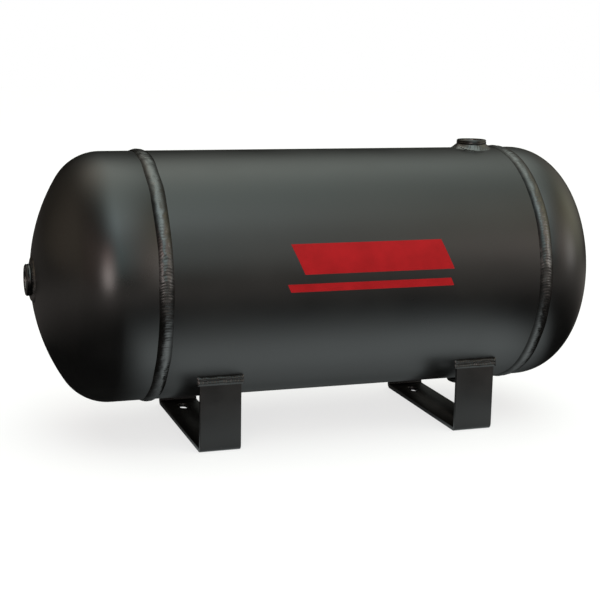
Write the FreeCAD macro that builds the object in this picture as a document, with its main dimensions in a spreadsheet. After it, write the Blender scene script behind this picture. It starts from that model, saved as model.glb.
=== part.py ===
import FreeCAD, Part
import Sketcher
import math
import os

# Horizontal air receiver: a rolled barrel between two dished heads, four threaded
# weld bungs and two bent strip feet. +X runs along the tank to its right end and +Z
# is up. The origin lies on the ground, at the middle of the overall length.

SIZES = {
    "overall_length": 432.4,      # over the faces of the two end bungs
    "tank_diameter": 180,         # outside the barrel
    "wall": 2,                    # sheet of barrel and heads
    "crown_radius": 137.5,        # outside radius of a head's crown
    "knuckle_radius": 35,         # outside radius between crown and straight skirt
    "left_skirt": 26.8,           # girth weld centre to the start of the dish
    "right_skirt": 12.8,
    "joggle_run": 4,              # length over which a head steps down into the barrel
    "lip_length": 6.5,            # of the stepped lip inside the barrel
    "slip_gap": 0.15,             # clearance of lip in barrel, and of bung in its hole
    "girth_bead_width": 11,
    "girth_bead_rise": 1.5,
    "seam_gap": 2,                # between the rolled sheet's two edges
    "seam_bead_width": 7,
    "seam_bead_rise": 0.8,
    "bung_diameter": 22.9,
    "bung_length": 16,
    "bung_chamfer": 0.8,
    "bung_groove_depth": 0.4,     # two turned grooves round each bung
    "bung_groove_width": 0.7,
    "bung_groove_drop": 1.2,      # from the face to the first groove
    "bung_groove_pitch": 1.8,
    "thread_drill": 11.1,         # quarter inch pipe thread, drilled
    "mouth_diameter": 14.2,       # countersunk mouth of the thread
    "end_bung_stand": 4.2,        # of the face beyond a head's crown
    "end_weld_rise": 2.2,
    "end_weld_leg": 5.5,
    "port_bung_stand": 6.3,       # of the face beyond the barrel
    "port_weld_rise": 2.8,
    "port_weld_leg": 4.5,
    "port_gap": 1.35,             # between the right head's lip and the port bungs
    "shell_clearance": 27,        # from the ground up to the barrel
    "foot_spacing": 196.5,
    "foot_shift": 0.6,            # of the middle of the feet from mid barrel
    "foot_span": 132.8,           # over the two legs of a foot
    "foot_width": 30,
    "foot_thickness": 3,
    "foot_bend_radius": 4,        # outside each bend
    "slot_spacing": 92,
    "slot_width": 7,
    "slot_length": 14,            # end to end, along the foot
    "foot_weld_leg": 4,           # down the outside of a leg
    "foot_weld_reach": 2,         # up the barrel from the top of a leg
    "foot_weld_bulge": 4.5,       # radius of the bead's outside
    "foot_weld_overhang": 2,      # past each edge of the strip
    "stripe_thickness": 0.15,
    "stripe_slant": 9,            # how far a stripe's ends lean over its height
    "broad_length": 112,
    "broad_height": 20.6,
    "broad_rise": 22.4,           # of the middle of the stripe above the tank axis
    "broad_shift": 7,             # of the middle of the stripe from mid barrel
    "narrow_length": 122,
    "narrow_height": 5.5,
    "narrow_rise": 3,
    "narrow_shift": 5,
}

# Places worked out from the sizes, as expressions.
RADIUS = "(Sizes.tank_diameter / 2)"
AXIS_HEIGHT = f"({RADIUS} + Sizes.shell_clearance)"
APEX = "(Sizes.overall_length / 2 - Sizes.end_bung_stand)"
CROWN_TO_KNUCKLE = "(Sizes.crown_radius - Sizes.knuckle_radius)"
KNUCKLE_OFFSET = f"({RADIUS} - Sizes.knuckle_radius)"
CROWN_REACH = f"sqrt({CROWN_TO_KNUCKLE} ^ 2 - {KNUCKLE_OFFSET} ^ 2)"
DISH_START = f"({APEX} - Sizes.crown_radius + {CROWN_REACH})"
LEFT_WELD = f"({DISH_START} - Sizes.left_skirt)"
RIGHT_WELD = f"({DISH_START} - Sizes.right_skirt)"
HALF_JOGGLE = "Sizes.joggle_run / 2"
JOGGLE_DEPTH = "(Sizes.wall + Sizes.slip_gap)"
JOGGLE_SLOPE = f"sqrt(Sizes.joggle_run ^ 2 + {JOGGLE_DEPTH} ^ 2)"
JOGGLE_SHIFT = f"Sizes.wall * ({JOGGLE_SLOPE} - Sizes.joggle_run) / {JOGGLE_DEPTH}"
MID_BARREL = f"(({RIGHT_WELD} - {LEFT_WELD}) / 2)"
BARREL_LENGTH = f"({RIGHT_WELD} + {LEFT_WELD} - Sizes.joggle_run)"
BUNG_RADIUS = "(Sizes.bung_diameter / 2)"
BUNG_HOLE_RADIUS = f"({BUNG_RADIUS} + Sizes.slip_gap)"
RIGHT_LIP_END = f"({RIGHT_WELD} - {HALF_JOGGLE} - Sizes.lip_length)"
PORT_PLACE = f"({RIGHT_LIP_END} - Sizes.port_gap - {BUNG_RADIUS})"
HALF_SPAN = "(Sizes.foot_span / 2)"
LEG_INSIDE = f"({HALF_SPAN} - Sizes.foot_thickness)"
LEG_TOP_DROP = f"sqrt({RADIUS} ^ 2 - {LEG_INSIDE} ^ 2)"
LEG_TOP = f"({AXIS_HEIGHT} - {LEG_TOP_DROP})"

doc = FreeCAD.newDocument("AirReceiver")
sheet = doc.addObject("Spreadsheet::Sheet", "Sizes")
for row, (name, value) in enumerate(SIZES.items(), start=1):
    sheet.set(f"A{row}", str(value))
    sheet.setAlias(f"A{row}", name)
doc.recompute()

subParts = []


def valueOf(expression):
    result = sheet.evalExpression(expression)
    return float(getattr(result, "Value", result))


def newBody(label, place=("0", "0", AXIS_HEIGHT), turn=None):
    body = doc.addObject("PartDesign::Body", label)
    body.Label = label
    if turn:
        body.Placement.Rotation = FreeCAD.Rotation(*turn)
    for axis, expression in zip("xyz", place):
        body.setExpression(f"Placement.Base.{axis}", expression)
    subParts.append(body)
    return body


def newSketch(body, role, offset=None):
    plane = next(item for item in body.Origin.OriginFeatures if item.Role == role)
    sketch = body.newObject("Sketcher::SketchObject", f"{body.Label}_sketch")
    sketch.AttachmentSupport = [(plane, "")]
    sketch.MapMode = "FlatFace"
    if offset:
        sketch.setExpression("AttachmentOffset.Base.z", offset)
    return sketch


def bindPoint(sketch, geometry, position, x, y):
    for kind, axis, expression in (("DistanceX", -2, x), ("DistanceY", -1, y)):
        if expression == "0":
            sketch.addConstraint(Sketcher.Constraint("PointOnObject", geometry, position, axis))
            continue
        value = valueOf(expression)
        index = sketch.addConstraint(Sketcher.Constraint(kind, -1, 1, geometry, position, value))
        sketch.setExpression(f"Constraints[{index}]", expression)


def bindRadius(sketch, geometry, expression):
    value = valueOf(expression)
    index = sketch.addConstraint(Sketcher.Constraint("Radius", geometry, value))
    sketch.setExpression(f"Constraints[{index}]", expression)


def drawCircle(sketch, radius, x="0", y="0"):
    centre = FreeCAD.Vector(valueOf(x), valueOf(y), 0)
    circle = Part.Circle(centre, FreeCAD.Vector(0, 0, 1), valueOf(radius))
    geometry = sketch.addGeometry(circle, False)
    bindPoint(sketch, geometry, 3, x, y)
    bindRadius(sketch, geometry, radius)


def arcBetween(start, end, radius, turn):
    # turn is 1 where the arc runs anticlockwise from start to end, and -1 where clockwise
    chord = end - start
    rise = math.sqrt(radius ** 2 - (chord.Length / 2) ** 2)
    across = FreeCAD.Vector(-chord.y, chord.x, 0).normalize()
    centre = start + chord / 2 + across * rise * turn
    first, last = (start, end) if turn == 1 else (end, start)
    angles = [math.atan2(point.y - centre.y, point.x - centre.x) for point in (first, last)]
    circle = Part.Circle(centre, FreeCAD.Vector(0, 0, 1), radius)
    return Part.ArcOfCircle(circle, angles[0], angles[1])


def drawOutline(sketch, corners):
    # a corner is (x, y), or (x, y, radius, turn) where an arc leads on to the next corner
    points = [FreeCAD.Vector(valueOf(c[0]), valueOf(c[1]), 0) for c in corners]
    ends = []
    for number, corner in enumerate(corners):
        start = points[number]
        end = points[(number + 1) % len(points)]
        if len(corner) == 2:
            geometry = sketch.addGeometry(Part.LineSegment(start, end), False)
            ends.append((geometry, 1, 2))
            continue
        arc = arcBetween(start, end, valueOf(corner[2]), corner[3])
        geometry = sketch.addGeometry(arc, False)
        ends.append((geometry, 1, 2) if corner[3] == 1 else (geometry, 2, 1))
    for number, (geometry, first, _) in enumerate(ends):
        before, _, last = ends[number - 1]
        sketch.addConstraint(Sketcher.Constraint("Coincident", before, last, geometry, first))
        bindPoint(sketch, geometry, first, corners[number][0], corners[number][1])
    for (geometry, _, _), corner in zip(ends, corners):
        if len(corner) > 2:
            bindRadius(sketch, geometry, corner[2])


def drawSlot(sketch, width, length, y):
    # a slot along the sketch's Y, with round ends
    half = f"{width} / 2"
    low = f"{y} - ({length} - {width}) / 2"
    high = f"{y} + ({length} - {width}) / 2"
    corners = [(half, low), (half, high), (f"-{half}", high), (f"-{half}", low)]
    points = [FreeCAD.Vector(valueOf(across), valueOf(along), 0) for across, along in corners]
    ends = []
    for number, start in enumerate(points):
        end = points[(number + 1) % 4]
        if number % 2 == 0:
            shape = Part.LineSegment(start, end)
        else:
            circle = Part.Circle((start + end) / 2, FreeCAD.Vector(0, 0, 1), valueOf(half))
            first = 0 if number == 1 else math.pi
            shape = Part.ArcOfCircle(circle, first, first + math.pi)
        ends.append(sketch.addGeometry(shape, False))
    for number, geometry in enumerate(ends):
        sketch.addConstraint(Sketcher.Constraint("Coincident", ends[number - 1], 2, geometry, 1))
        bindPoint(sketch, geometry, 1, *corners[number])
    for geometry, along in ((ends[1], high), (ends[3], low)):
        index = sketch.addConstraint(Sketcher.Constraint("DistanceY", -1, 1, geometry, 3, valueOf(along)))
        sketch.setExpression(f"Constraints[{index}]", along)


def addPad(body, sketch, length, symmetric=False):
    pad = body.newObject("PartDesign::Pad", f"{body.Label}_pad")
    pad.Profile = sketch
    pad.setExpression("Length", length)
    if symmetric:
        pad.SideType = "Symmetric"
    return pad


def addRevolution(body, sketch, axis="H_Axis"):
    revolution = body.newObject("PartDesign::Revolution", f"{body.Label}_revolution")
    revolution.Profile = sketch
    revolution.ReferenceAxis = (sketch, [axis])
    revolution.Angle = 360
    return revolution


def addThroughPocket(body, sketch):
    doc.recompute()
    before = body.Shape.Volume
    pocket = body.newObject("PartDesign::Pocket", f"{body.Label}_pocket")
    pocket.Profile = sketch
    pocket.Type = "ThroughAll"
    pocket.SideType = "Symmetric"
    doc.recompute()
    if not body.Shape.Volume < before:
        raise RuntimeError(f"{body.Label}: a pocket cut nothing")


def makeBarrel():
    body = newBody("barrel_shell")
    start = f"{HALF_JOGGLE} - {LEFT_WELD}"
    ring = newSketch(body, "YZ_Plane", start)
    drawCircle(ring, RADIUS)
    drawCircle(ring, f"{RADIUS} - Sizes.wall")
    addPad(body, ring, BARREL_LENGTH)
    gap = newSketch(body, "XZ_Plane")
    ends = (start, f"{start} + {BARREL_LENGTH}")
    edges = ("-Sizes.seam_gap / 2", "Sizes.seam_gap / 2")
    drawOutline(gap, [(ends[0], edges[0]), (ends[1], edges[0]), (ends[1], edges[1]), (ends[0], edges[1])])
    doc.recompute()
    slot = body.newObject("PartDesign::Pocket", "barrel_shell_seam_slot")
    slot.Profile = gap
    slot.setExpression("Length", RADIUS)
    doc.recompute()
    holes = newSketch(body, "XY_Plane")
    drawCircle(holes, BUNG_HOLE_RADIUS, PORT_PLACE)
    addThroughPocket(body, holes)


def makeHead(label, side, weld):
    body = newBody(label)

    def along(expression):
        return f"{side} * ({expression})"

    apexCentre = f"{APEX} - Sizes.crown_radius"

    def tangent(offset):
        share = f"(Sizes.crown_radius - {offset}) / {CROWN_TO_KNUCKLE}"
        return along(f"{apexCentre} + {share} * {CROWN_REACH}"), f"{share} * {KNUCKLE_OFFSET}"

    lipRadius = f"{RADIUS} - {JOGGLE_DEPTH}"
    lipInside = f"{lipRadius} - Sizes.wall"
    lipStart = f"{weld} - {HALF_JOGGLE}"
    outline = newSketch(body, "XZ_Plane")
    drawOutline(outline, [
        (along(APEX), "0", "Sizes.crown_radius", side),
        (*tangent("0"), "Sizes.knuckle_radius", side),
        (along(DISH_START), RADIUS),
        (along(f"{weld} + {HALF_JOGGLE}"), RADIUS),
        (along(lipStart), lipRadius),
        (along(f"{lipStart} - Sizes.lip_length"), lipRadius),
        (along(f"{lipStart} - Sizes.lip_length"), lipInside),
        (along(f"{lipStart} + {JOGGLE_SHIFT}"), lipInside),
        (along(f"{weld} + {HALF_JOGGLE} + {JOGGLE_SHIFT}"), f"{RADIUS} - Sizes.wall"),
        (along(DISH_START), f"{RADIUS} - Sizes.wall", "Sizes.knuckle_radius - Sizes.wall", -side),
        (*tangent("Sizes.wall"), "Sizes.crown_radius - Sizes.wall", -side),
        (along(f"{APEX} - Sizes.wall"), "0"),
    ])
    addRevolution(body, outline)
    hole = newSketch(body, "YZ_Plane")
    drawCircle(hole, BUNG_HOLE_RADIUS)
    addThroughPocket(body, hole)


def makeGirthWeld(label, side, weld):
    body = newBody(label, (f"{side} * {weld}", "0", AXIS_HEIGHT))
    halfWidth = "Sizes.girth_bead_width / 2"
    cap = f"(({halfWidth}) ^ 2 + Sizes.girth_bead_rise ^ 2) / (2 * Sizes.girth_bead_rise)"
    outline = newSketch(body, "XZ_Plane")
    drawOutline(outline, [
        (f"{-side} * {halfWidth}", RADIUS),
        (f"{-side} * {HALF_JOGGLE}", RADIUS),
        (f"{-side} * {HALF_JOGGLE}", f"{RADIUS} - {JOGGLE_DEPTH}"),
        (f"{side} * {HALF_JOGGLE}", RADIUS),
        (f"{side} * {halfWidth}", RADIUS, cap, side),
    ])
    addRevolution(body, outline)


def makeSeamWeld():
    body = newBody("seam_weld")

    def shellPoint(radius, height):
        return f"sqrt(({radius}) ^ 2 - ({height}) ^ 2)"

    halfGap = "Sizes.seam_gap / 2"
    halfWidth = "Sizes.seam_bead_width / 2"
    inside = f"{RADIUS} - Sizes.wall"
    root = newSketch(body, "YZ_Plane", f"{HALF_JOGGLE} - {LEFT_WELD}")
    drawOutline(root, [
        (shellPoint(inside, halfGap), f"-{halfGap}", inside, 1),
        (shellPoint(inside, halfGap), halfGap),
        (shellPoint(RADIUS, halfGap), halfGap, RADIUS, -1),
        (shellPoint(RADIUS, halfGap), f"-{halfGap}"),
    ])
    addPad(body, root, BARREL_LENGTH)
    toe = shellPoint(RADIUS, halfWidth)
    sagitta = f"({RADIUS} + Sizes.seam_bead_rise - {toe})"
    capRadius = f"(({halfWidth}) ^ 2 + {sagitta} ^ 2) / (2 * {sagitta})"
    bead = newSketch(body, "YZ_Plane", f"Sizes.girth_bead_width / 2 - {LEFT_WELD}")
    drawOutline(bead, [
        (toe, f"-{halfWidth}", capRadius, 1),
        (toe, halfWidth, RADIUS, -1),
    ])
    addPad(body, bead, f"{LEFT_WELD} + {RIGHT_WELD} - Sizes.girth_bead_width")


def makeBung(label, place, turn):
    # turned steel bung, drawn with its face at z = 0 and its axis along z
    body = newBody(label, place, turn)
    bore = "Sizes.thread_drill / 2"
    mouth = "Sizes.mouth_diameter / 2"
    grooveFloor = f"{BUNG_RADIUS} - Sizes.bung_groove_depth"
    grooves = []
    for number in range(2):
        start = f"-Sizes.bung_groove_drop - {number} * Sizes.bung_groove_pitch"
        end = f"{start} - Sizes.bung_groove_width"
        grooves += [(BUNG_RADIUS, start), (grooveFloor, start), (grooveFloor, end), (BUNG_RADIUS, end)]
    outline = newSketch(body, "XZ_Plane")
    drawOutline(outline, [
        (mouth, "0"),
        (f"{BUNG_RADIUS} - Sizes.bung_chamfer", "0"),
        (BUNG_RADIUS, "-Sizes.bung_chamfer"),
        *grooves,
        (BUNG_RADIUS, "-Sizes.bung_length"),
        (bore, "-Sizes.bung_length"),
        (bore, f"{bore} - {mouth}"),
    ])
    addRevolution(body, outline, "V_Axis")


def makeEndBungWeld(label, place, turn):
    body = newBody(label, place, turn)
    toe = f"({BUNG_RADIUS} + Sizes.end_weld_leg)"
    crownCentre = "(-Sizes.end_bung_stand - Sizes.crown_radius)"

    def onCrown(radius):
        return f"{crownCentre} + sqrt(Sizes.crown_radius ^ 2 - {radius} ^ 2)"

    outline = newSketch(body, "XZ_Plane")
    drawOutline(outline, [
        (BUNG_RADIUS, f"{onCrown(BUNG_RADIUS)} + Sizes.end_weld_rise"),
        (BUNG_RADIUS, onCrown(BUNG_RADIUS), "Sizes.crown_radius", -1),
        (toe, onCrown(toe)),
    ])
    addRevolution(body, outline, "V_Axis")


def makePortWeld(label, place, turn):
    # a cone that runs on past the barrel's surface, which then trims it to a saddle
    body = newBody(label, place, turn)
    toe = f"({BUNG_RADIUS} + Sizes.port_weld_leg)"
    drop = f"({toe} ^ 2 / {RADIUS})"
    outline = newSketch(body, "XZ_Plane")
    drawOutline(outline, [
        (BUNG_RADIUS, "Sizes.port_weld_rise - Sizes.port_bung_stand"),
        (BUNG_RADIUS, f"-Sizes.port_bung_stand - {drop}"),
        (f"{toe} + Sizes.port_weld_leg * {drop} / Sizes.port_weld_rise",
         f"-Sizes.port_bung_stand - {drop}"),
    ])
    addRevolution(body, outline, "V_Axis")
    barrel = newSketch(body, "YZ_Plane")
    drawCircle(barrel, RADIUS, "0", f"-Sizes.port_bung_stand - {RADIUS}")
    addThroughPocket(body, barrel)


def makeFoot(label, middle):
    body = newBody(label, (middle, "0", "0"))
    strip = newSketch(body, "YZ_Plane")
    flat = f"({HALF_SPAN} - Sizes.foot_bend_radius)"
    outer = "Sizes.foot_bend_radius"
    inner = "Sizes.foot_bend_radius - Sizes.foot_thickness"
    drawOutline(strip, [
        (f"-{HALF_SPAN}", LEG_TOP),
        (f"-{HALF_SPAN}", outer, outer, 1),
        (f"-{flat}", "0"),
        (flat, "0", outer, 1),
        (HALF_SPAN, outer),
        (HALF_SPAN, LEG_TOP),
        (LEG_INSIDE, LEG_TOP),
        (LEG_INSIDE, outer, inner, -1),
        (flat, "Sizes.foot_thickness"),
        (f"-{flat}", "Sizes.foot_thickness", inner, -1),
        (f"-{LEG_INSIDE}", outer),
        (f"-{LEG_INSIDE}", LEG_TOP),
    ])
    addPad(body, strip, "Sizes.foot_width", symmetric=True)
    slots = newSketch(body, "XY_Plane")
    for sign in (-1, 1):
        drawSlot(slots, "Sizes.slot_width", "Sizes.slot_length", f"{sign} * Sizes.slot_spacing / 2")
    addThroughPocket(body, slots)


def makeFootWeld(label, middle, side):
    body = newBody(label, (middle, "0", "0"))
    toeHeight = f"({LEG_TOP} + Sizes.foot_weld_reach)"
    toeAcross = f"sqrt({RADIUS} ^ 2 - ({AXIS_HEIGHT} - {toeHeight}) ^ 2)"
    bead = newSketch(body, "YZ_Plane")
    drawOutline(bead, [
        (f"{side} * {LEG_INSIDE}", LEG_TOP),
        (f"{side} * {HALF_SPAN}", LEG_TOP),
        (f"{side} * {HALF_SPAN}", f"{LEG_TOP} - Sizes.foot_weld_leg", "Sizes.foot_weld_bulge", side),
        (f"{side} * {toeAcross}", toeHeight, RADIUS, -side),
    ])
    addPad(body, bead, "Sizes.foot_width + 2 * Sizes.foot_weld_overhang", symmetric=True)


def makeStripe(label, name):
    # a slanted bar, pushed out of the tank's front and trimmed to a thin skin on the barrel
    body = newBody(label)
    middle = f"({MID_BARREL} + Sizes.{name}_shift)"
    top = f"Sizes.{name}_rise + Sizes.{name}_height / 2"
    bottom = f"Sizes.{name}_rise - Sizes.{name}_height / 2"
    half = f"Sizes.{name}_length / 2"
    lean = f"Sizes.stripe_slant * Sizes.{name}_height / Sizes.broad_height / 2"
    bar = newSketch(body, "XZ_Plane")
    drawOutline(bar, [
        (f"{middle} - {half} + {lean}", bottom),
        (f"{middle} + {half} + {lean}", bottom),
        (f"{middle} + {half} - {lean}", top),
        (f"{middle} - {half} - {lean}", top),
    ])
    addPad(body, bar, f"{RADIUS} + 2 * Sizes.stripe_thickness")
    trim = newSketch(body, "YZ_Plane")
    drawCircle(trim, RADIUS)
    drawCircle(trim, f"{RADIUS} + Sizes.stripe_thickness")
    drawCircle(trim, "Sizes.tank_diameter")
    addThroughPocket(body, trim)


def checkDocument():
    for item in doc.Objects:
        if "Invalid" in item.State or "Error" in item.State:
            raise RuntimeError(f"{item.Label} failed to build")
    for part in subParts:
        if part.Shape.isNull() or not part.Shape.isValid():
            raise RuntimeError(f"{part.Label} has no valid shape")
        if len(part.Shape.Solids) != 1:
            raise RuntimeError(f"{part.Label} is not one solid")


def makeTank():
    makeBarrel()
    makeSeamWeld()
    for name, side, weld in (("left", -1, LEFT_WELD), ("right", 1, RIGHT_WELD)):
        makeHead(f"{name}_head", side, weld)
        makeGirthWeld(f"{name}_girth_weld", side, weld)
        place = (f"{side} * Sizes.overall_length / 2", "0", AXIS_HEIGHT)
        turn = (FreeCAD.Vector(0, 1, 0), 90 * side)
        makeBung(f"{name}_end_bung", place, turn)
        makeEndBungWeld(f"{name}_end_bung_weld", place, turn)
    for name, side, angle in (("top_port", 1, 0), ("drain_port", -1, 180)):
        height = f"{AXIS_HEIGHT} + {side} * ({RADIUS} + Sizes.port_bung_stand)"
        turn = (FreeCAD.Vector(1, 0, 0), angle)
        makeBung(f"{name}_bung", (PORT_PLACE, "0", height), turn)
        makePortWeld(f"{name}_weld", (PORT_PLACE, "0", height), turn)


def makeFeet():
    for name, side in (("left", -1), ("right", 1)):
        middle = f"{MID_BARREL} + Sizes.foot_shift + {side} * Sizes.foot_spacing / 2"
        makeFoot(f"{name}_foot", middle)
        makeFootWeld(f"{name}_foot_front_weld", middle, -1)
        makeFootWeld(f"{name}_foot_rear_weld", middle, 1)


makeTank()
makeFeet()
makeStripe("broad_stripe", "broad")
makeStripe("narrow_stripe", "narrow")
doc.recompute()
checkDocument()
os.makedirs("parts", exist_ok=True)
for part in subParts:
    part.Shape.exportStep(f"parts/{part.Label}.step")
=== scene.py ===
import math
import bmesh
import bpy
from mathutils import Matrix, Vector, noise


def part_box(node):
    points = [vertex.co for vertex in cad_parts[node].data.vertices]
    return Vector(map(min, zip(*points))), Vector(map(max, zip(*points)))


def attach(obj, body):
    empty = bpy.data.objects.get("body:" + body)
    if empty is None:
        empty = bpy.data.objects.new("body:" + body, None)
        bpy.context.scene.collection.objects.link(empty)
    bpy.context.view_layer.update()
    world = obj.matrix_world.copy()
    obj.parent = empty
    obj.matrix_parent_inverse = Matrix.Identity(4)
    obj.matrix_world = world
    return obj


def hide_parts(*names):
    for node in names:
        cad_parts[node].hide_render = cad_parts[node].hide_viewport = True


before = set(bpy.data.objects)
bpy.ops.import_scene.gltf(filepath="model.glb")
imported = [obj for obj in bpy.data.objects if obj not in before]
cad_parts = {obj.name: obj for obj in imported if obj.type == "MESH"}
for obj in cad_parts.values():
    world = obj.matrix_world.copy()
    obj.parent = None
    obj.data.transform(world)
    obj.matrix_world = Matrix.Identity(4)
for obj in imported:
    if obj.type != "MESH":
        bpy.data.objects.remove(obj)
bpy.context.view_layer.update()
print("frame loaded with", len(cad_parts), "nodes")

# places and sizes that come from the frame
barrelLow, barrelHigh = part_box("barrel_shell")
axisZ = (barrelLow.z + barrelHigh.z) / 2
shellRadius = (barrelHigh.z - barrelLow.z) / 2
leftWeldX = sum(corner.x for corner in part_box("left_girth_weld")) / 2
rightWeldX = sum(corner.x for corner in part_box("right_girth_weld")) / 2
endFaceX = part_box("right_end_bung")[1].x
bungRadius = (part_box("top_port_bung")[1].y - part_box("top_port_bung")[0].y) / 2
portX = sum(corner.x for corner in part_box("top_port_bung")) / 2
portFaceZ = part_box("top_port_bung")[1].z - axisZ
xAxis = Vector((1, 0, 0))
zAxis = Vector((0, 0, 1))
tankCentre = Vector((0, 0, axisZ))


def linearColour(hexText):
    channels = [int(hexText[i:i + 2], 16) / 255 for i in (1, 3, 5)]
    return [c / 12.92 if c <= 0.04045 else ((c + 0.055) / 1.055) ** 2.4 for c in channels] + [1]


def addNode(tree, kind, settings=None, values=None, links=None):
    node = tree.nodes.new(kind)
    for name, value in (settings or {}).items():
        setattr(node, name, value)
    for name, value in (values or {}).items():
        node.inputs[name].default_value = value
    for name, source in (links or {}).items():
        tree.links.new(source, node.inputs[name])
    return node


def setStops(ramp, stops):
    while len(ramp.color_ramp.elements) < len(stops):
        ramp.color_ramp.elements.new(0.5)
    for element, (position, colour) in zip(ramp.color_ramp.elements, stops):
        element.position = position
        element.color = colour


def grey(value):
    return (value, value, value, 1)


def perMetre(millimetres):
    return 1000 / millimetres  # a noise texture's scale for features of that size


def startMaterial(name):
    material = bpy.data.materials.new(name)
    material.use_nodes = True
    tree = material.node_tree
    tree.nodes.clear()
    return material, tree, addNode(tree, "ShaderNodeOutputMaterial")


def paintedSteel(name, look):
    # an enamel film on steel: a dielectric gloss over near-black pigment, with the sprayed
    # film's slight orange peel, cloudy gloss and a little settled dust
    material, tree, output = startMaterial(name)
    place = addNode(tree, "ShaderNodeTexCoord").outputs["Object"]
    cloud = addNode(tree, "ShaderNodeTexNoise", None,
                    {"Scale": perMetre(look["cloudSize"]), "Detail": 4, "Roughness": 0.55},
                    {"Vector": place})
    shade = addNode(tree, "ShaderNodeValToRGB", None, None, {"Fac": cloud.outputs["Fac"]})
    setStops(shade, [(0.32, linearColour(look["deep"])), (0.7, linearColour(look["faded"]))])
    speck = addNode(tree, "ShaderNodeTexNoise", None,
                    {"Scale": perMetre(look["speckSize"]), "Detail": 2, "Roughness": 0.4},
                    {"Vector": place})
    speckMask = addNode(tree, "ShaderNodeValToRGB", None, None, {"Fac": speck.outputs["Fac"]})
    speckFull = look["speckStart"] + look["speckSoft"]
    setStops(speckMask, [(look["speckStart"], grey(0)), (speckFull, grey(look["speckAmount"]))])
    dusty = addNode(tree, "ShaderNodeMix", {"data_type": "RGBA"})
    tree.links.new(speckMask.outputs["Color"], dusty.inputs["Factor"])
    tree.links.new(shade.outputs["Color"], dusty.inputs["A"])
    dusty.inputs["B"].default_value = linearColour(look["dust"])
    gloss = addNode(tree, "ShaderNodeMapRange", None,
                    {"From Min": 0.3, "From Max": 0.72,
                     "To Min": look["glossy"], "To Max": look["dull"]},
                    {"Value": cloud.outputs["Fac"]})
    peel = addNode(tree, "ShaderNodeTexNoise", None,
                   {"Scale": perMetre(look["peelSize"]), "Detail": 2, "Roughness": 0.5},
                   {"Vector": place})
    sheetWave = addNode(tree, "ShaderNodeTexNoise", None,
                        {"Scale": perMetre(look["waveSize"]), "Detail": 1},
                        {"Vector": place})
    wave = addNode(tree, "ShaderNodeBump", None,
                   {"Strength": 1, "Distance": look["waveHeight"] / 1000},
                   {"Height": sheetWave.outputs["Fac"]})
    skin = addNode(tree, "ShaderNodeBump", None,
                   {"Strength": 1, "Distance": look["peelHeight"] / 1000},
                   {"Height": peel.outputs["Fac"], "Normal": wave.outputs["Normal"]})
    shader = addNode(tree, "ShaderNodeBsdfPrincipled", None,
                     {"IOR": look["ior"], "Metallic": 0, "Specular IOR Level": look["specular"]},
                     {"Base Color": dusty.outputs["Result"], "Roughness": gloss.outputs["Result"],
                      "Normal": skin.outputs["Normal"]})
    if "crest" in look:
        # painted highlight and painted shade: the specular level is raised along each weld's crest
        # and cut low towards its toes, so the crest shines and the toes stay dark wherever the light
        # is
        middle, half = look["crest"]
        along = addNode(tree, "ShaderNodeSeparateXYZ", None, None, {"Vector": place})
        offset = along.outputs["X"]
        for shift in (middle, half):
            step = addNode(tree, "ShaderNodeMath", {"operation": "SUBTRACT"}, {1: shift},
                           {0: offset})
            offset = addNode(tree, "ShaderNodeMath", {"operation": "ABSOLUTE"}, None,
                             {0: step.outputs["Value"]}).outputs["Value"]
        # the painted sheen: specular level high on the crest, low on the toes
        paintedSheen = addNode(tree, "ShaderNodeMapRange", {"interpolation_type": "SMOOTHSTEP"},
                          {"From Min": look["crestHalfWidth"], "From Max": look["toeStart"],
                           "To Min": look["crestPaintedHighlight"], "To Max": look["toePaintedShade"]},
                          {"Value": offset})
        tree.links.new(paintedSheen.outputs["Result"], shader.inputs["Specular IOR Level"])
    tree.links.new(shader.outputs["BSDF"], output.inputs["Surface"])
    return material


threadLook = {"oily": "#4a4846", "clean": "#83807c", "smearSize": 3, "glossy": 0.28, "dull": 0.5}


def bareThread():
    # cut carbon steel, left unpainted inside the bungs: a grey glint, darker under cutting oil
    material, tree, output = startMaterial("cutSteelThread")
    place = addNode(tree, "ShaderNodeTexCoord").outputs["Object"]
    oil = addNode(tree, "ShaderNodeTexNoise", None,
                  {"Scale": perMetre(threadLook["smearSize"]), "Detail": 3}, {"Vector": place})
    colour = addNode(tree, "ShaderNodeValToRGB", None, None, {"Fac": oil.outputs["Fac"]})
    setStops(colour, [(0.3, linearColour(threadLook["oily"])),
                      (0.7, linearColour(threadLook["clean"]))])
    rough = addNode(tree, "ShaderNodeMapRange", None,
                    {"From Min": 0.3, "From Max": 0.7,
                     "To Min": threadLook["glossy"], "To Max": threadLook["dull"]},
                    {"Value": oil.outputs["Fac"]})
    shader = addNode(tree, "ShaderNodeBsdfPrincipled", None, {"Metallic": 1},
                     {"Base Color": colour.outputs["Color"], "Roughness": rough.outputs["Result"]})
    tree.links.new(shader.outputs["BSDF"], output.inputs["Surface"])
    return material


# sizes and heights in these looks are in millimetres; real dust is finer than the specks,
# which are drawn coarser so that they show
tankLook = {"deep": "#050505", "faded": "#0a0a09", "dust": "#3a3936", "cloudSize": 55,
            "speckSize": 0.9, "speckStart": 0.73, "speckSoft": 0.06, "speckAmount": 0.5,
            "glossy": 0.27, "dull": 0.36, "peelSize": 1.6, "peelHeight": 0.012,
            "waveSize": 70, "waveHeight": 0.25, "ior": 1.5, "specular": 0.5}
weldLook = {**tankLook, "deep": "#080807", "faded": "#131211", "cloudSize": 12, "speckSize": 0.7,
            "glossy": 0.16, "dull": 0.32, "specular": 0.42, "peelSize": 0.9, "peelHeight": 0.05,
            "waveSize": 6, "waveHeight": 0.06}
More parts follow.
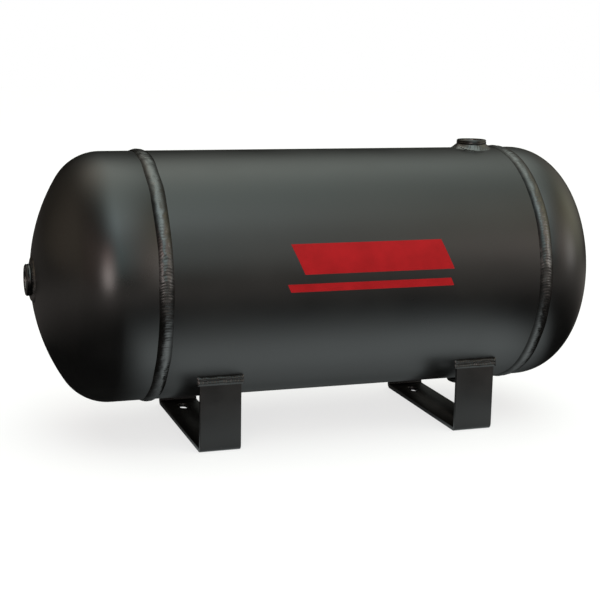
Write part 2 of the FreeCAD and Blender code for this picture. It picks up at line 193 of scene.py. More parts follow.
# the middle of the tank's two crests, half their spacing, and the widths are in metres; the crest and
# toe specular levels are a painted highlight on each crest and painted shade on each toe
girthLook = {**weldLook, "deep": "#060605", "faded": "#0e0d0c",
             "crest": ((leftWeldX + rightWeldX) / 2, (rightWeldX - leftWeldX) / 2),
             "crestHalfWidth": 0.0008, "toeStart": 0.0046, "crestPaintedHighlight": 0.95, "toePaintedShade": 0.12}
filletLook = {**weldLook, "deep": "#040403", "faded": "#0b0a09", "specular": 0.95,
              "peelHeight": 0.07}
bungLook = {**tankLook, "deep": "#030303", "faded": "#070706", "cloudSize": 8, "glossy": 0.12,
            "dull": 0.22, "peelSize": 0.9, "waveSize": 9, "waveHeight": 0.02}
footLook = {**tankLook, "deep": "#060505", "faded": "#0c0b0b", "cloudSize": 20, "glossy": 0.34,
            "dull": 0.46, "specular": 0.35, "peelSize": 1.1, "peelHeight": 0.016,
            "waveSize": 25, "waveHeight": 0.1}
filmLook = {**tankLook, "deep": "#7e0d11", "faded": "#8c1015", "dust": "#680b0e", "cloudSize": 15,
            "speckSize": 0.8, "speckAmount": 0.35, "glossy": 0.42, "dull": 0.52, "waveHeight": 0.05,
            "specular": 0.08}

# black enamel, sprayed and baked on smooth sheet: soft wide reflections with a faint peel
tankEnamel = paintedSteel("bakedBlackEnamel", tankLook)
# the same coat over a run weld, with a painted highlight along its crest and painted shade on its
# toes, both set by the specular level
girthEnamel = paintedSteel("enamelOverGirthWeldPaintedSheen", girthLook)
# the same coat over the small welds, pulled thin on their ripples: a broken, speckled sheen
weldEnamel = paintedSteel("enamelOverWeld", weldLook)
# the same coat pooled round a bung: the glossiest paint on the tank
filletEnamel = paintedSteel("enamelOverFillet", filletLook)
# a thin coat on turned steel: sharp, narrow highlights along the grooves
bungEnamel = paintedSteel("enamelOverTurnedSteel", bungLook)
# a thin coat on hot-rolled strip, dulled by its scale: flat and dark
footEnamel = paintedSteel("enamelOverStrip", footLook)
# opaque red ink, screen printed on the paint: a satin skin with hardly any reflection
redInk = paintedSteel("redScreenInk", filmLook)
threadSteel = bareThread()
print("materials made")


def arcPoints(centre, radius, start, end, steps):
    angles = [math.radians(start + (end - start) * i / steps) for i in range(steps + 1)]
    return [(centre[0] + radius * math.cos(a), centre[1] + radius * math.sin(a)) for a in angles]


def addLoop(bm, points):
    verts = [bm.verts.new(point) for point in points]
    for first, second in zip(verts, verts[1:] + verts[:1]):
        bm.edges.new((first, second))
    return verts


def spinLoop(points, centre, axis, steps):
    bm = bmesh.new()
    addLoop(bm, points)
    bmesh.ops.spin(bm, geom=bm.verts[:] + bm.edges[:], cent=centre, axis=axis, dvec=(0, 0, 0),
                   angle=math.tau, steps=steps, use_merge=True, use_duplicate=False)
    bmesh.ops.remove_doubles(bm, verts=bm.verts[:], dist=1e-6)
    bmesh.ops.recalc_face_normals(bm, faces=bm.faces[:])
    return bm


def thicken(bm, side, thickness):
    # turns an open sheet the same way every time, then makes it a closed slab; side is the
    # sign of Y that the sheet is to face before it is thickened
    bmesh.ops.recalc_face_normals(bm, faces=bm.faces[:])
    if sum(face.normal.y for face in bm.faces) * side < 0:
        bmesh.ops.reverse_faces(bm, faces=bm.faces[:])
    bmesh.ops.solidify(bm, geom=bm.faces[:], thickness=thickness)
    bmesh.ops.recalc_face_normals(bm, faces=bm.faces[:])


def extrudeOutline(points, push):
    bm = bmesh.new()
    face = bm.faces.new(addLoop(bm, points))
    pushed = bmesh.ops.extrude_face_region(bm, geom=[face])
    moved = [item for item in pushed["geom"] if isinstance(item, bmesh.types.BMVert)]
    bmesh.ops.translate(bm, verts=moved, vec=push)
    bmesh.ops.recalc_face_normals(bm, faces=bm.faces[:])
    return bm


def bevelEdges(bm, edges, offset, segments):
    bmesh.ops.bevel(bm, geom=edges, offset=offset, segments=segments, profile=0.5,
                    affect="EDGES", material=-1)


def finishPiece(name, bm, materials, node, sharpAngle=32):
    limit = math.radians(sharpAngle)
    for face in bm.faces:
        face.smooth = True
    for edge in bm.edges:
        edge.smooth = edge.calc_face_angle(0) < limit
    mesh = bpy.data.meshes.new(name)
    bm.to_mesh(mesh)
    bm.free()
    piece = bpy.data.objects.new(name, mesh)
    bpy.context.scene.collection.objects.link(piece)
    for material in materials:
        mesh.materials.append(material)
    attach(piece, "root")
    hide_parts(node)
    return piece


def cutAway(piece, cutters):
    # each cutter is a bmesh; the piece's mesh is replaced by the cut one
    for bm in cutters:
        mesh = bpy.data.meshes.new("cutter")
        bm.to_mesh(mesh)
        bm.free()
        cutter = bpy.data.objects.new("cutter", mesh)
        bpy.context.scene.collection.objects.link(cutter)
        modifier = piece.modifiers.new("cut", "BOOLEAN")
        modifier.object = cutter
        modifier.operation = "DIFFERENCE"
        modifier.solver = "EXACT"
        bpy.context.view_layer.update()
        graph = bpy.context.evaluated_depsgraph_get()
        result = bpy.data.meshes.new_from_object(piece.evaluated_get(graph))
        piece.modifiers.clear()
        old = piece.data
        piece.data = result
        result.name = piece.name
        bpy.data.meshes.remove(old)
        bpy.data.objects.remove(cutter)
        bpy.data.meshes.remove(mesh)


def rodCutter(radius, reach, place, segments):
    bm = bmesh.new()
    bmesh.ops.create_cone(bm, cap_ends=True, segments=segments, radius1=radius, radius2=radius,
                          depth=2 * reach)
    bmesh.ops.transform(bm, verts=bm.verts[:], matrix=place)
    return bm


sheet = {"wall": 0.002, "crownRadius": 0.1375, "knuckleRadius": 0.035, "endBungStand": 0.0042,
         "joggleRun": 0.004, "joggleDepth": 0.00215, "lipLength": 0.0065, "holeSlip": 0.00015,
         "holeMargin": 0.004, "cutReach": 0.12, "holeSteps": 96, "spinSteps": 288,
         "crownSteps": 22, "knuckleSteps": 26}
apexX = endFaceX - sheet["endBungStand"]


def roundNormals(piece):
    # true round-tube normals, whatever cuts the holes left in the faces
    mesh = piece.data
    normals = []
    for polygon in mesh.polygons:
        for index in polygon.vertices:
            place = mesh.vertices[index].co
            outward = Vector((0, place.y, place.z - axisZ)).normalized()
            facing = outward.dot(polygon.normal)
            onRound = abs(facing) > 0.97
            normals.append(outward * math.copysign(1, facing) if onRound else polygon.normal.copy())
    mesh.normals_split_custom_set(normals)


def makeBarrel():
    start = leftWeldX + sheet["joggleRun"] / 2
    end = rightWeldX - sheet["joggleRun"] / 2
    portStart = portX - bungRadius - sheet["holeMargin"]
    stations = [start + (portStart - start) * i / 5 for i in range(6)] + [end]
    outside = [(x, 0, axisZ + shellRadius) for x in stations]
    inside = [(x, 0, axisZ + shellRadius - sheet["wall"]) for x in reversed(stations)]
    bm = spinLoop(outside + inside, tankCentre, xAxis, sheet["spinSteps"])
    piece = finishPiece("rolledBarrel", bm, [tankEnamel], "barrel_shell")
    hole = rodCutter(bungRadius + sheet["holeSlip"], sheet["cutReach"],
                     Matrix.Translation((portX, 0, axisZ)), sheet["holeSteps"])
    cutAway(piece, [hole])
    roundNormals(piece)


def makeHead(name, node, side, weldX):
    crown, knuckle, wall = sheet["crownRadius"], sheet["knuckleRadius"], sheet["wall"]
    run = sheet["joggleRun"] / 2
    offset = shellRadius - knuckle
    reach = math.sqrt((crown - knuckle) ** 2 - offset ** 2)
    centreX = apexX - crown
    tangent = math.degrees(math.atan2(offset, reach))
    weld = abs(weldX)
    shift = wall * math.tan(math.atan2(sheet["joggleDepth"], sheet["joggleRun"]) / 2)
    lipRadius = shellRadius - sheet["joggleDepth"]
    lipEnd = weld - run - sheet["lipLength"]
    hole = bungRadius + sheet["holeSlip"]

    def dish(shrink):
        radius = crown - shrink
        start = math.degrees(math.asin(hole / radius))
        crownArc = arcPoints((centreX, 0), radius, start, tangent, sheet["crownSteps"])
        knuckleArc = arcPoints((centreX + reach, offset), knuckle - shrink, tangent, 90,
                               sheet["knuckleSteps"])
        return crownArc + knuckleArc[1:]

    skirt = [(weld + run, shellRadius), (weld - run, lipRadius), (lipEnd, lipRadius),
             (lipEnd, lipRadius - wall), (weld - run + shift, lipRadius - wall),
             (weld + run + shift, shellRadius - wall)]
    outline = dish(0) + skirt + dish(wall)[::-1]
    points = [(side * x, 0, axisZ + r) for x, r in outline]
    bm = spinLoop(points, tankCentre, xAxis, sheet["spinSteps"])
    finishPiece(name, bm, [tankEnamel], node)


makeBarrel()
makeHead("leftDishedHead", "left_head", -1, leftWeldX)
makeHead("rightDishedHead", "right_head", 1, rightWeldX)
print("barrel and heads made")


def rippleDepth(bead, phase, across):
    # crescents that trail behind the torch: shallow humps with a fine valley between them
    wave = abs(math.sin(math.pi * (phase + bead["crescent"] * across * across)))
    return bead["rippleDepth"] * (math.sqrt(wave) - 1)


def lumps(bead, place, seed):
    return bead["lump"] * noise.noise(place / bead["lumpLength"] + Vector((seed, 0, 0)))


girthBead = {"rise": 0.00142, "round": 1.05, "spread": 0.93, "footSpread": 0.8, "sink": 0.0009,
             "ripples": 270,
             "stepsPerRipple": 5, "acrossSteps": 20, "rippleDepth": 0.0002, "crescent": 0.9,
             "lump": 0.0004, "lumpLength": 0.0045, "wander": 0.0005, "wanderLength": 0.02,
             "stray": 0.7, "strayLength": 0.011, "headroom": 0.0001}


def makeGirthBead(name, node, weldX, seed):
    bead = girthBead
    low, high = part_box(node)
    half = (high.x - low.x) / 2
    top = axisZ + shellRadius
    cap = []
    for i in range(bead["acrossSteps"] + 1):
        across = -math.cos(math.pi * i / bead["acrossSteps"])
        swell = max(0, 1 - across * across) ** bead["round"]
        cap.append((weldX + across * half * bead["spread"], 0, top + bead["rise"] * swell))
    under = [(weldX + sign * half * bead["footSpread"], 0, top - bead["sink"]) for sign in (1, -1)]
    steps = bead["ripples"] * bead["stepsPerRipple"]
    bm = spinLoop(cap + under, tankCentre, xAxis, steps)
    for vert in bm.verts:
        arm = Vector((0, vert.co.y, vert.co.z - axisZ))
        if arm.length < shellRadius - 1e-5:
            continue
        across = (vert.co.x - weldX) / (half * bead["spread"])
        fade = max(0, 1 - across * across) ** 0.6
        phase = math.atan2(arm.y, arm.z) / math.tau * bead["ripples"]
        drift = noise.noise(vert.co / bead["strayLength"] + Vector((seed, seed, 0)))
        phase += bead["stray"] * drift
        lift = fade * (rippleDepth(bead, phase, across) + lumps(bead, vert.co, seed))
        edge = noise.noise(vert.co / bead["wanderLength"] + Vector((0, seed, 0)))
        vert.co += arm.normalized() * min(lift, bead["headroom"] * fade)
        vert.co.x += bead["wander"] * edge
    finishPiece(name, bm, [girthEnamel], node, 75)


makeGirthBead("leftGirthBead", "left_girth_weld", leftWeldX, 3)
makeGirthBead("rightGirthBead", "right_girth_weld", rightWeldX, 11)

seamBead = {"rise": 0.0007, "ripplePitch": 0.0018, "stepsPerRipple": 5, "acrossSteps": 12,
            "rippleDepth": 0.0001, "crescent": 0.9, "lump": 0.00012, "lumpLength": 0.008,
            "tuck": 0.001, "bite": 0.00003, "thickness": 0.0015}


def wrapOnBarrel(height, lift):
    # height is the distance round the barrel from the level of its axis
    angle = height / shellRadius
    radius = shellRadius + lift
    return radius * math.cos(angle), axisZ + radius * math.sin(angle)


def makeSeamBead():
    bead = seamBead
    low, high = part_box("seam_weld")
    half = (high.z - low.z) / 2
    gap = (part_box("left_girth_weld")[1].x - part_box("left_girth_weld")[0].x) / 2 - bead["tuck"]
    start, end = leftWeldX + gap, rightWeldX - gap
    steps = round((end - start) / bead["ripplePitch"]) * bead["stepsPerRipple"]
    bm = bmesh.new()
    bmesh.ops.create_grid(bm, x_segments=steps, y_segments=bead["acrossSteps"], size=1)
    for vert in bm.verts:
        along = start + (end - start) * (vert.co.x + 1) / 2
        across = vert.co.y
        fade = 1 - across * across
        lift = bead["rise"] * math.cos(math.pi * across / 2) ** 1.5
        lift += fade * rippleDepth(bead, along / bead["ripplePitch"], across)
        lift += fade * lumps(bead, Vector((along, across * half, 0)), 7)
        y, z = wrapOnBarrel(across * half, lift - bead["bite"])
        vert.co = (along, y, z)
    thicken(bm, 1, bead["thickness"])
    finishPiece("longSeamBead", bm, [weldEnamel], "seam_weld", 75)


makeSeamBead()
print("girth and seam welds made")


bung = {"length": 0.016, "chamfer": 0.0008, "grooveDrops": (0.0012, 0.003), "grooveWidth": 0.0007,
        "grooveDepth": 0.0004, "mouthRadius": 0.0071, "minorRadius": 0.00555,
        "threadDepth": 0.00113, "pitch": 0.001411, "threadStart": 0.0013, "threadRelief": 0.0034,
        "flank": 0.44, "crestFlat": 0.12, "edgeRound": 0.00024, "spinSteps": 120,
        "stepsPerTurn": 60}


def turnedBody():
    radius = bungRadius
    root = bung["minorRadius"] + bung["threadDepth"]
    wall = [(radius, -bung["chamfer"])]
    for drop in bung["grooveDrops"]:
        floor = radius - bung["grooveDepth"]
        width = bung["grooveWidth"]
        wall += [(radius, -drop), (floor, -drop - width * 0.4), (floor, -drop - width * 0.6),
                 (radius, -drop - width)]
    outline = [(radius - bung["chamfer"], 0), *wall, (radius, -bung["length"]),
               (root, -bung["length"]), (root, root - bung["mouthRadius"]), (bung["mouthRadius"], 0)]
    bm = spinLoop([(r, 0, z) for r, z in outline], Vector(), zAxis, bung["spinSteps"])
    sharp = [edge for edge in bm.edges if edge.calc_face_angle(0) > math.radians(30)]
    bevelEdges(bm, sharp, bung["edgeRound"], 3)
    for face in bm.faces:
        middle = face.calc_center_median()
        if math.hypot(middle.x, middle.y) < root + 1e-5 and middle.z < -0.0004:
            face.material_index = 1
    return bm


def threadRidge():
    # one pitch-wide ridge with a triangular section, swept down the bore as a screw
    crest, root = bung["minorRadius"], bung["minorRadius"] + bung["threadDepth"]
    half = bung["pitch"] * bung["flank"]
    flat = half * bung["crestFlat"]
    turns = math.floor((bung["length"] - bung["threadRelief"]) / bung["pitch"])
    top = -bung["threadStart"]
    outer, inner = root + 0.0001, crest + 0.00008  # rooted in the wall, and clear of a plug
    steps = turns * bung["stepsPerTurn"]
    bm = bmesh.new()
    section = [(outer, top + half), (inner, top + flat), (inner, top - flat), (outer, top - half)]
    startCap = bm.faces.new(addLoop(bm, [(r, 0, z) for r, z in section]))
    bmesh.ops.spin(bm, geom=bm.verts[:] + bm.edges[:] + [startCap], cent=(0, 0, 0),
                   axis=(0, 0, -1), dvec=(0, 0, -bung["pitch"] * turns / steps),
                   angle=math.tau * turns, steps=steps, use_merge=False, use_duplicate=False)
    bmesh.ops.recalc_face_normals(bm, faces=bm.faces[:])
    for face in bm.faces:
        face.material_index = 1
    return bm


def joinBmesh(target, extra):
    mesh = bpy.data.meshes.new("joining")
    extra.to_mesh(mesh)
    extra.free()
    target.from_mesh(mesh)
    bpy.data.meshes.remove(mesh)


def makeBung(name, node, place):
    bm = turnedBody()
    joinBmesh(bm, threadRidge())
    bmesh.ops.transform(bm, verts=bm.verts[:], matrix=place)
    finishPiece(name, bm, [bungEnamel, threadSteel], node, 28)


filletBead = {"endRise": 0.0013, "endLeg": 0.0055, "portRise": 0.0039, "portLeg": 0.0044,
              "hollow": 1.3, "hollowShare": 0.8, "full": 2.6, "sink": 0.0009, "ripples": 36,
              "stepsPerRipple": 7, "acrossSteps": 16, "rippleDepth": 0.00026, "crescent": 0.7,
              "lump": 0.0008, "lumpLength": 0.0055, "toeWander": 0.0011}


def hollowProfile(t):
    # across a port's fillet, from the bung at 0 to the toe at 1
    return filletBead["hollowShare"] * (1 - t) ** filletBead["hollow"]


def fullProfile(t):
    # across an end bung's fillet, which stands full up to its toe
    return 1 - t ** filletBead["full"]


def makeFillet(name, node, place, stand, rise, leg, profile, sag, seed):
    # sag(x, y) is how far the surface under the fillet falls away from its height on the axis
    bead = filletBead
    inner = bungRadius - 0.0001
    points = []
    for i in range(bead["acrossSteps"] + 1):
        t = i / bead["acrossSteps"]
        points.append((inner + leg * t, 0, rise * profile(t)))
    points += [(inner + leg * 0.9, 0, -bead["sink"]), (inner, 0, -bead["sink"])]
    bm = spinLoop(points, Vector(), zAxis, bead["ripples"] * bead["stepsPerRipple"])
    for vert in bm.verts:
        radius = math.hypot(vert.co.x, vert.co.y)
        direction = Vector((vert.co.x, vert.co.y, 0)) / radius
        t = (radius - inner) / leg
        if vert.co.z > -1e-6:
            fade = math.sin(math.pi * min(1, t * 0.93 + 0.07)) ** 0.7
            phase = math.atan2(vert.co.y, vert.co.x) / math.tau * bead["ripples"]
            lift = rippleDepth(bead, phase, t) + lumps(bead, vert.co, seed)
            vert.co.z = max(vert.co.z + fade * lift, -0.0001 * t)
        spread = noise.noise(direction * 2.2 + Vector((seed, seed, 0)))
        vert.co += direction * bead["toeWander"] * spread * t
        vert.co.z -= sag(vert.co.x, vert.co.y) + stand
    bmesh.ops.transform(bm, verts=bm.verts[:], matrix=place)
    bmesh.ops.recalc_face_normals(bm, faces=bm.faces[:])
    finishPiece(name, bm, [filletEnamel], node, 75)


def barrelSag(x, y):
    return shellRadius - math.sqrt(shellRadius ** 2 - y * y)


def crownSag(x, y):
    crown = sheet["crownRadius"]
    return crown - math.sqrt(crown ** 2 - x * x - y * y)


topPlace = Matrix.Translation((portX, 0, axisZ + portFaceZ))
drainPlace = Matrix.Translation((portX, 0, axisZ - portFaceZ)) @ Matrix.Rotation(math.pi, 4, "X")
leftPlace = Matrix.Translation((-endFaceX, 0, axisZ)) @ Matrix.Rotation(-math.pi / 2, 4, "Y")
rightPlace = Matrix.Translation((endFaceX, 0, axisZ)) @ Matrix.Rotation(math.pi / 2, 4, "Y")
portStand = portFaceZ - shellRadius

for name, node, place in (("topPortBung", "top_port_bung", topPlace),
                          ("drainPortBung", "drain_port_bung", drainPlace),
                          ("leftEndBung", "left_end_bung", leftPlace),
                          ("rightEndBung", "right_end_bung", rightPlace)):
    makeBung(name, node, place)
for name, node, place, seed in (("topPortFillet", "top_port_weld", topPlace, 2),
                                ("drainPortFillet", "drain_port_weld", drainPlace, 5)):
    makeFillet(name, node, place, portStand, filletBead["portRise"], filletBead["portLeg"],
               hollowProfile, barrelSag, seed)
for name, node, place, seed in (("leftEndFillet", "left_end_bung_weld", leftPlace, 8),
                                ("rightEndFillet", "right_end_bung_weld", rightPlace, 9)):
    makeFillet(name, node, place, sheet["endBungStand"], filletBead["endRise"],
               filletBead["endLeg"], fullProfile, crownSag, seed)
print("bungs made")


foot = {"thickness": 0.003, "bendRadius": 0.004, "bendSteps": 10, "edgeRound": 0.00035,
        "slotWidth": 0.007, "slotLength": 0.014, "slotSpacing": 0.092, "slotRound": 0.0003,
        "slotSteps": 20, "cutDepth": 0.01}


def slotCutter(x, y):
    radius, run = foot["slotWidth"] / 2, (foot["slotLength"] - foot["slotWidth"]) / 2
    steps = foot["slotSteps"]
    outline = arcPoints((x, y + run), radius, 0, 180, steps)
    outline += arcPoints((x, y - run), radius, 180, 360, steps)
    depth = foot["cutDepth"]
    return extrudeOutline([(px, py, -depth) for px, py in outline], (0, 0, 2 * depth))


def softenSlots(piece):
    # breaks the slots' top edges, which catch the light
    bm = bmesh.new()
    bm.from_mesh(piece.data)
    edges = [edge for edge in bm.edges if edge.calc_face_angle(0) > math.radians(70)
             and all(abs(vert.co.z - foot["thickness"]) < 1e-5
                     and abs(abs(vert.co.y) - foot["slotSpacing"] / 2) < foot["slotLength"] / 2 + 1e-4
                     for vert in edge.verts)]
    bevelEdges(bm, edges, foot["slotRound"], 2)
    for edge in bm.edges:
        edge.smooth = edge.calc_face_angle(0) < math.radians(32)
    for face in bm.faces:
        face.smooth = True
    bm.to_mesh(piece.data)
    bm.free()


def makeFoot(name, node):
    low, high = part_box(node)
    middle, half = (low.x + high.x) / 2, (high.y - low.y) / 2
    radius, thickness = foot["bendRadius"], foot["thickness"]
    outerLeft = arcPoints((-half + radius, radius), radius, 180, 270, foot["bendSteps"])
    outerRight = arcPoints((half - radius, radius), radius, 270, 360, foot["bendSteps"])
    innerRight = arcPoints((half - radius, radius), radius - thickness, 360, 270, foot["bendSteps"])
    innerLeft = arcPoints((-half + radius, radius), radius - thickness, 270, 180, foot["bendSteps"])
    outline = [(-half, high.z), *outerLeft, *outerRight, (half, high.z),
               (half - thickness, high.z), *innerRight, *innerLeft, (-half + thickness, high.z)]
    bm = extrudeOutline([(low.x, y, z) for y, z in outline], (high.x - low.x, 0, 0))
    sharp = [edge for edge in bm.edges if edge.calc_face_angle(0) > math.radians(60)]
    bevelEdges(bm, sharp, foot["edgeRound"], 3)
    piece = finishPiece(name, bm, [footEnamel], node)
    cutAway(piece, [slotCutter(middle, sign * foot["slotSpacing"] / 2) for sign in (-1, 1)])
    softenSlots(piece)


legBead = {"overhang": 0.0018, "down": 0.0042, "up": 0.0021, "bulge": 0.0009, "acrossSteps": 24,
           "ripplePitch": 0.0021, "stepsPerRipple": 5, "rippleDepth": 0.0003, "crescent": 0.6,
           "lump": 0.0006, "lumpLength": 0.005, "ridges": 1.5, "ridgeHeight": 0.0003,
           "wobble": 0.35, "wobbleLength": 0.012, "thickness": 0.0016}


def makeLegBead(name, node, footNode, side, seed):
    bead = legBead
    low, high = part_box(footNode)
    startX, endX = low.x - bead["overhang"], high.x + bead["overhang"]
    toeZ = high.z + bead["up"]
    toeY = math.sqrt(shellRadius ** 2 - (axisZ - toeZ) ** 2)
    lowEnd, highEnd = Vector((high.y, high.z - bead["down"])), Vector((toeY, toeZ))
    run = highEnd - lowEnd
    outward = Vector((run.y, -run.x)).normalized()
    steps = round((endX - startX) / bead["ripplePitch"]) * bead["stepsPerRipple"]
    bm = bmesh.new()
    bmesh.ops.create_grid(bm, x_segments=steps, y_segments=bead["acrossSteps"], size=1)
    for vert in bm.verts:
        along = startX + (endX - startX) * (vert.co.x + 1) / 2
        t = (vert.co.y + 1) / 2
        taper = min(1, (1 - abs(vert.co.x)) * 9) ** 0.5
        fade = math.sin(math.pi * t)
        wobble = noise.noise(Vector((along / bead["wobbleLength"], seed, 0))) * bead["wobble"]
        lift = bead["bulge"] * fade ** 0.8
        lift += fade * bead["ridgeHeight"] * math.sin(math.tau * bead["ridges"] * (t + wobble * 0.3))
        lift += fade * rippleDepth(bead, along / bead["ripplePitch"], t * 2 - 1)
        lift += fade * lumps(bead, Vector((along, t * 0.006, 0)), seed)
        point = lowEnd + run * (t + 0.1 * wobble * fade) + outward * lift * taper
        vert.co = (along, side * point.x, point.y)
    thicken(bm, side, bead["thickness"])
    finishPiece(name, bm, [weldEnamel], node, 75)


for sideName in ("left", "right"):
    makeFoot(f"{sideName}StripFoot", f"{sideName}_foot")
    for faceName, side, seed in (("front", -1, 4), ("rear", 1, 13)):
        makeLegBead(f"{sideName}{faceName.title()}LegBead", f"{sideName}_foot_{faceName}_weld",
                    f"{sideName}_foot", side, seed + len(sideName))
print("feet made")


# the ink's height on the paint, and how far a stripe's ends lean over the height given
stripe = {"thickness": 0.00013, "lift": 0.00001, "slant": 0.009, "slantHeight": 0.0206,
          "cell": 0.0008}


def makeStripe(name, node):
    low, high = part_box(node)
    height = high.z - low.z
    lean = stripe["slant"] * height / stripe["slantHeight"] / 2
    middleX, half = (low.x + high.x) / 2, (high.x - low.x) / 2 - lean
    bm = bmesh.new()
    bmesh.ops.create_grid(bm, x_segments=round(2 * half / stripe["cell"] / 4),
                          y_segments=round(height / stripe["cell"]) + 1, size=1)
    for vert in bm.verts:
        z = (low.z + high.z) / 2 + vert.co.y * height / 2
        x = middleX + vert.co.x * half - vert.co.y * lean
        y = -math.sqrt((shellRadius + stripe["lift"]) ** 2 - (z - axisZ) ** 2)
        vert.co = (x, y, z)
    thicken(bm, 1, stripe["thickness"])
    finishPiece(name, bm, [redInk], node)


makeStripe("broadStripe", "broad_stripe")
makeStripe("narrowStripe", "narrow_stripe")
print("stripes made")


studio = {"floorSize": 6, "floorWhite": 0.9, "floorLift": 0.72, "glow": 1.45, "glowRed": 0.91,
          "glowFront": -0.45, "glowBack": 0.25, "glowMiddle": 0.03, "glowHalfLength": 0.158,
          "glowSoft": 0.03, "farGlow": 0.5, "farTint": "#fff4ec", "farStart": 0.3, "farEnd": 0.78,
          "fill": 26, "fillSize": 3, "fillHeight": 2}

# how bright the floor mirrors in the paint, by its place across the tank
glowSteps = [(-0.415, 0.04), (-0.315, 0.1), (-0.255, 0.22), (-0.21, 0.36), (-0.175, 0.58),
             (-0.145, 0.84), (-0.115, 1.02), (-0.085, 0.88), (-0.055, 0.46), (-0.02, 0.14),
             (0.05, 0.04), (0.11, 0.08), (0.15, 0.16), (0.21, 0.04)]

# soft light patches round the tank: turn from the front towards the right, height above the
# horizon, how tight the patch is, its colour and its strength
lightPatches = [
    (30, 82, 12, "#edfff8", 1.95), (150, 62, 14, "#f3fff7", 1.65), (-150, 62, 14, "#fff1dd", 1.05),
    (0, 56, 18, "#e9fdff", 2.7), (38, 50, 18, "#ffe2cd", 0.45), (-29, 8, 48, "#fff3ee", 7.2),
    (-27, 24, 50, "#ffc8bc", 1.6), (5, 26, 30, "#d6feff", 1.2), (30, 22, 30, "#ffe3d6", 1.1),
    (55, 12, 30, "#fffaf7", 3.3), (62, 32, 18, "#fff1bd", 0.8), (90, 25, 16, "#fffcde", 1.45),
    (0, 0, 40, "#ffd4b8", 0.28), (33, -2, 40, "#fff5e6", 0.5), (-62, 20, 10, "#ffdfd0", 0.6),
    (-110, 10, 8, "#ffead0", 0.45), (-12, 18, 70, "#e8fffb", 0.7), (90, -5, 20, "#ffffff", 0.2),
    (122, 18, 16, "#fff4e6", 0.3)]


def makeFloor():
    bm = bmesh.new()
    bmesh.ops.create_grid(bm, x_segments=1, y_segments=1, size=studio["floorSize"])
    mesh = bpy.data.meshes.new("paleFloor")
    bm.to_mesh(mesh)
    bm.free()
    floor = bpy.data.objects.new("paleFloor", mesh)
    bpy.context.scene.collection.objects.link(floor)
    material, tree, output = startMaterial("paleSweep")
    path = addNode(tree, "ShaderNodeLightPath")
    card = addNode(tree, "ShaderNodeBsdfDiffuse", None, {"Color": grey(studio["floorWhite"])})
    lift = addNode(tree, "ShaderNodeEmission", None, {"Color": grey(1), "Strength": 1})
    pale = addNode(tree, "ShaderNodeMixShader", None, {"Fac": studio["floorLift"]})
    tree.links.new(card.outputs["BSDF"], pale.inputs[1])
    tree.links.new(lift.outputs["Emission"], pale.inputs[2])
    place = addNode(tree, "ShaderNodeTexCoord").outputs["Object"]
    # a lit strip in front of the tank, which only the paint mirrors
    parts = addNode(tree, "ShaderNodeSeparateXYZ", None, None, {"Vector": place})
    across = addNode(tree, "ShaderNodeMapRange", None,
                     {"From Min": studio["glowFront"], "From Max": studio["glowBack"]},
                     {"Value": parts.outputs["Y"]})
    endways = addNode(tree, "ShaderNodeMath", {"operation": "SUBTRACT"}, {1: studio["glowMiddle"]},
                      {0: parts.outputs["X"]})
    endways = addNode(tree, "ShaderNodeMath", {"operation": "ABSOLUTE"}, None,
                      {0: endways.outputs["Value"]})
    strip = addNode(tree, "ShaderNodeValToRGB", None, None, {"Fac": across.outputs["Result"]})
    span = studio["glowBack"] - studio["glowFront"]
    setStops(strip, [((y - studio["glowFront"]) / span, (studio["glowRed"] * value, value, value, 1))
                     for y, value in glowSteps])
    ends = addNode(tree, "ShaderNodeMapRange", {"interpolation_type": "SMOOTHSTEP"},
                   {"From Min": studio["glowHalfLength"] - studio["glowSoft"],
                    "From Max": studio["glowHalfLength"] + studio["glowSoft"],
                    "To Min": studio["glow"], "To Max": 0}, {"Value": endways.outputs["Value"]})
    glow = addNode(tree, "ShaderNodeEmission", None, None,
                   {"Color": strip.outputs["Color"], "Strength": ends.outputs["Result"]})
    # the open floor farther off, dimmer behind the tank and a little dimmer on its left
    reach = addNode(tree, "ShaderNodeVectorMath", {"operation": "LENGTH"}, None, {0: place})
    far = addNode(tree, "ShaderNodeMapRange", None,
                  {"From Min": studio["farStart"], "From Max": studio["farEnd"], "To Min": 0,
                   "To Max": studio["farGlow"]}, {"Value": reach.outputs["Value"]})
    ahead = addNode(tree, "ShaderNodeMapRange", None,
                    {"From Min": 0.55, "From Max": 0.15, "To Min": 0.15, "To Max": 1},
                    {"Value": parts.outputs["Y"]})
    rightward = addNode(tree, "ShaderNodeMapRange", None,
                        {"From Min": -0.5, "From Max": -0.1, "To Min": 0.9, "To Max": 1},
                        {"Value": parts.outputs["X"]})
    side = addNode(tree, "ShaderNodeMath", {"operation": "MULTIPLY"}, None,
                   {0: ahead.outputs["Result"], 1: rightward.outputs["Result"]})
    reached = addNode(tree, "ShaderNodeMath", {"operation": "MULTIPLY"}, None,
                      {0: far.outputs["Result"], 1: side.outputs["Value"]})
    farGlow = addNode(tree, "ShaderNodeEmission", None, {"Color": linearColour(studio["farTint"])},
                      {"Strength": reached.outputs["Value"]})
    both = addNode(tree, "ShaderNodeAddShader")
    tree.links.new(glow.outputs["Emission"], both.inputs[0])
    tree.links.new(farGlow.outputs["Emission"], both.inputs[1])
    mixed = addNode(tree, "ShaderNodeMixShader")
    tree.links.new(path.outputs["Is Glossy Ray"], mixed.inputs["Fac"])
    tree.links.new(pale.outputs["Shader"], mixed.inputs[1])
    tree.links.new(both.outputs["Shader"], mixed.inputs[2])
    tree.links.new(mixed.outputs["Shader"], output.inputs["Surface"])
    mesh.materials.append(material)


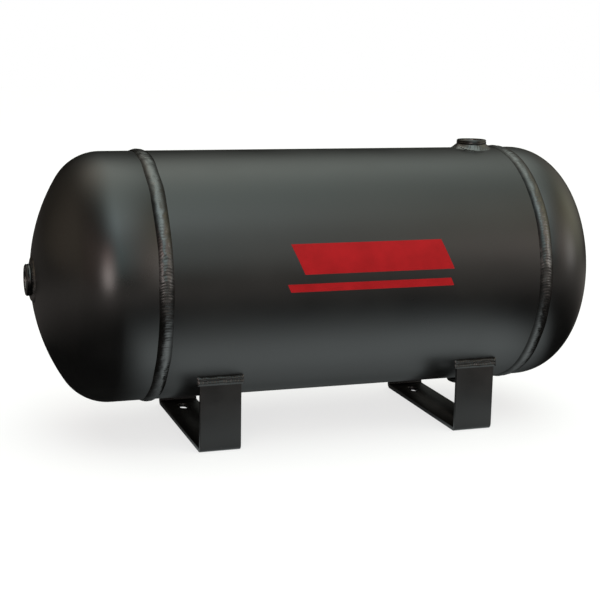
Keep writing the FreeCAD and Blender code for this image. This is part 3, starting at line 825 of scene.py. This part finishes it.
def makeWorld():
    world = bpy.data.worlds.new("softTent")
    bpy.context.scene.world = world
    world.use_nodes = True
    tree = world.node_tree
    tree.nodes.clear()
    output = addNode(tree, "ShaderNodeOutputWorld")
    direction = addNode(tree, "ShaderNodeTexCoord").outputs["Generated"]
    total = None
    for turn, height, tightness, colour, strength in lightPatches:
        turn, height = math.radians(turn), math.radians(height)
        aim = (math.sin(turn) * math.cos(height), -math.cos(turn) * math.cos(height),
               math.sin(height))
        facing = addNode(tree, "ShaderNodeVectorMath", {"operation": "DOT_PRODUCT"}, {1: aim},
                         {0: direction})
        falloff = addNode(tree, "ShaderNodeMath", {"operation": "MULTIPLY_ADD"},
                          {1: tightness, 2: -tightness}, {0: facing.outputs["Value"]})
        patch = addNode(tree, "ShaderNodeMath", {"operation": "EXPONENT"}, None,
                        {0: falloff.outputs["Value"]})
        tint = [channel * strength for channel in linearColour(colour)[:3]]
        if total is None:
            total = addNode(tree, "ShaderNodeVectorMath", {"operation": "MULTIPLY"}, {1: tint},
                            {0: patch.outputs["Value"]})
        else:
            total = addNode(tree, "ShaderNodeVectorMath", {"operation": "MULTIPLY_ADD"}, {1: tint},
                            {0: patch.outputs["Value"], 2: total.outputs["Vector"]})
    tentLight = addNode(tree, "ShaderNodeBackground", None, {"Strength": 1},
                        {"Color": total.outputs["Vector"]})
    backdrop = addNode(tree, "ShaderNodeBackground", None, {"Color": grey(1), "Strength": 1})
    path = addNode(tree, "ShaderNodeLightPath")
    mixed = addNode(tree, "ShaderNodeMixShader")
    tree.links.new(path.outputs["Is Camera Ray"], mixed.inputs["Fac"])
    tree.links.new(tentLight.outputs["Background"], mixed.inputs[1])
    tree.links.new(backdrop.outputs["Background"], mixed.inputs[2])
    tree.links.new(mixed.outputs["Shader"], output.inputs["Surface"])


def makeFill():
    # a wide overhead bank that whitens the floor and is too diffuse to mirror in the paint
    light = bpy.data.lights.new("overheadBank", "AREA")
    light.size = studio["fillSize"]
    light.energy = studio["fill"]
    holder = bpy.data.objects.new("overheadBank", light)
    bpy.context.scene.collection.objects.link(holder)
    holder.location = (0, 0, studio["fillHeight"])
    holder.visible_glossy = False
    holder.visible_camera = False


view = {"place": (-0.3232, -0.9210, 0.2879), "turn": 18.729, "tilt": -11.341, "roll": 1.004,
        "lens": 78.39}


def makeCamera():
    turn, tilt, roll = (math.radians(view[key]) for key in ("turn", "tilt", "roll"))
    forward = Vector((math.sin(turn) * math.cos(tilt), math.cos(turn) * math.cos(tilt),
                      math.sin(tilt)))
    level = Vector((math.cos(turn), -math.sin(turn), 0))
    upright = level.cross(forward)
    right = level * math.cos(roll) + upright * math.sin(roll)
    up = upright * math.cos(roll) - level * math.sin(roll)
    camera = bpy.data.cameras.new("studioCamera")
    camera.lens = view["lens"]
    camera.sensor_width = 36
    holder = bpy.data.objects.new("studioCamera", camera)
    bpy.context.scene.collection.objects.link(holder)
    holder.matrix_world = Matrix((
        (right.x, up.x, -forward.x, view["place"][0]),
        (right.y, up.y, -forward.y, view["place"][1]),
        (right.z, up.z, -forward.z, view["place"][2]),
        (0, 0, 0, 1)))
    bpy.context.scene.camera = holder


makeFloor()
makeWorld()
makeFill()
makeCamera()
bpy.context.scene.view_settings.view_transform = "Standard"
print("floor, light and camera set")
